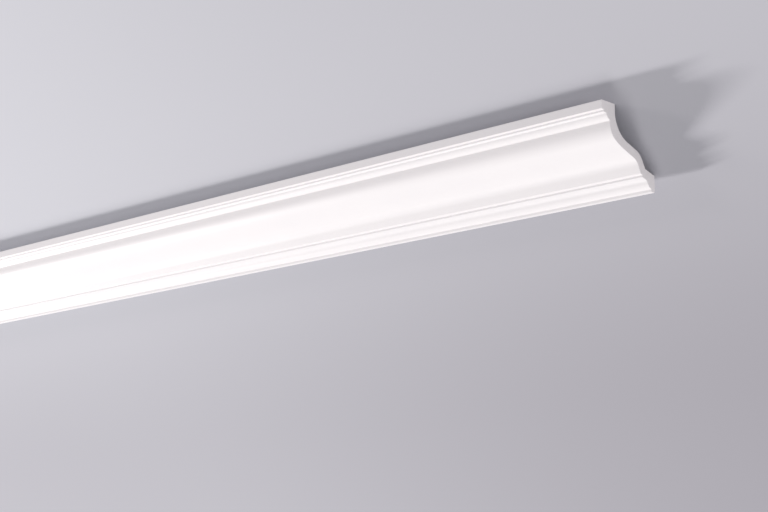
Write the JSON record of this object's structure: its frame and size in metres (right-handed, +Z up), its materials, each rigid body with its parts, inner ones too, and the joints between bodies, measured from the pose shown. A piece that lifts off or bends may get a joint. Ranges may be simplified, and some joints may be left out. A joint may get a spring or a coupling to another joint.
{
  "type": "cornice moulding",
  "caption": "Straight length of foam cornice moulding with a fascia, a large ogee and small stepped ogees, for the corner of wall and ceiling.",
  "frame": {"origin": "middle of the length's footprint, on the floor it lies on", "axes": "+X along the length; +Y across, towards the fascia that goes against the ceiling; +Z up, the way the moulded face looks as it lies on its back"},
  "size_m": [2, 0.1178, 0.0276],
  "materials": {
    "white_foam": "smooth matt skin of white extruded polystyrene foam, with fine die lines along the length and a finely cellular cut at the ends"
  },
  "bodies": {
    "root": {"cornice_moulding": "white_foam"}
  },
  "joints": []
}
